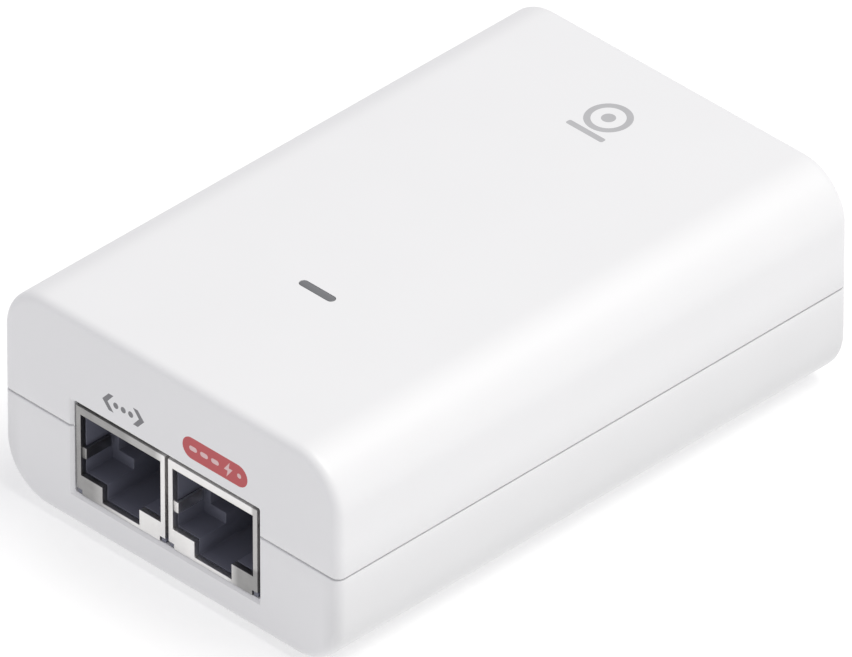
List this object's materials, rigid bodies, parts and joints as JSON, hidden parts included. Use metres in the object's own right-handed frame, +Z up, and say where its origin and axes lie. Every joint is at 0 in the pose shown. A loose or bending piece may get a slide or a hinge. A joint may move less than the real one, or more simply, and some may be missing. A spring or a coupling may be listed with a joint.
{
  "type": "poe injector",
  "caption": "Small white power-over-Ethernet injector: two shielded RJ45 jacks at one end, a mains inlet at the other, a status light bar in the top and rubber feet.",
  "frame": {"origin": "centre of the footprint, on the plane that the rubber feet stand on", "axes": "+X across the jacks to the right as seen from the jack end, +Y from the jack end to the mains inlet, +Z up"},
  "size_m": [0.0584, 0.089, 0.0323],
  "materials": {
    "shell": "fine satin moulded plastic",
    "foot_rubber": "matt",
    "light_bar": "clear, smoked",
    "red_print": "printed",
    "grey_print": "printed",
    "pale_print": "printed",
    "label_film": "satin film",
    "jack_metal": "bright tin plate",
    "black_plastic": "moulded",
    "gold": "gold plate",
    "nickel": "nickel plate",
    "board": "solder mask",
    "film": "matt film",
    "ferrite": "fired",
    "copper": "enamelled wire",
    "tape": "polyester tape",
    "yellow_case": "moulded",
    "blue_coat": "dipped",
    "green_coat": "dipped",
    "capacitor_sleeve": "shrink sleeve",
    "heat_sink": "stamped",
    "screw_steel": "zinc plate",
    "led": "cast"
  },
  "bodies": {
    "root": {"top_cover": "shell", "bottom_case": "shell", "light_pipe": "light_bar", "status_led": "led", "foot_front_left": "foot_rubber", "foot_front_right": "foot_rubber", "foot_rear_left": "foot_rubber", "foot_rear_right": "foot_rubber", "poe_label": "red_print", "lan_label": "grey_print", "top_mark": "pale_print", "rating_label": "label_film", "lan_jack_shield": "jack_metal", "lan_jack_housing": "black_plastic", "lan_jack_contacts": "gold", "poe_jack_shield": "jack_metal", "poe_jack_housing": "black_plastic", "poe_jack_contacts": "gold", "inlet_housing": "black_plastic", "inlet_pin_line": "nickel", "inlet_pin_neutral": "nickel", "inlet_pin_earth": "nickel", "main_board": "board", "insulation_sheet": "film", "fuse": "black_plastic", "thermistor": "green_coat", "varistor": "blue_coat", "x_capacitor": "yellow_case", "choke_core": "ferrite", "choke_winding_line": "copper", "choke_winding_neutral": "copper", "bridge_rectifier": "black_plastic", "bulk_capacitor": "capacitor_sleeve", "switching_transistor": "black_plastic", "primary_heat_sink": "heat_sink", "transformer_core": "ferrite", "transformer_bobbin": "black_plastic", "transformer_winding": "tape", "optocoupler": "black_plastic", "y_capacitor": "blue_coat", "output_diode": "black_plastic", "output_heat_sink": "heat_sink", "heat_sink_screws": "screw_steel", "output_capacitor_a": "capacitor_sleeve", "output_capacitor_b": "capacitor_sleeve", "output_inductor_core": "ferrite", "output_inductor_coil": "copper", "lan_magnetics": "black_plastic", "poe_controller": "black_plastic", "small_parts": "green_coat"}
  },
  "joints": []
}
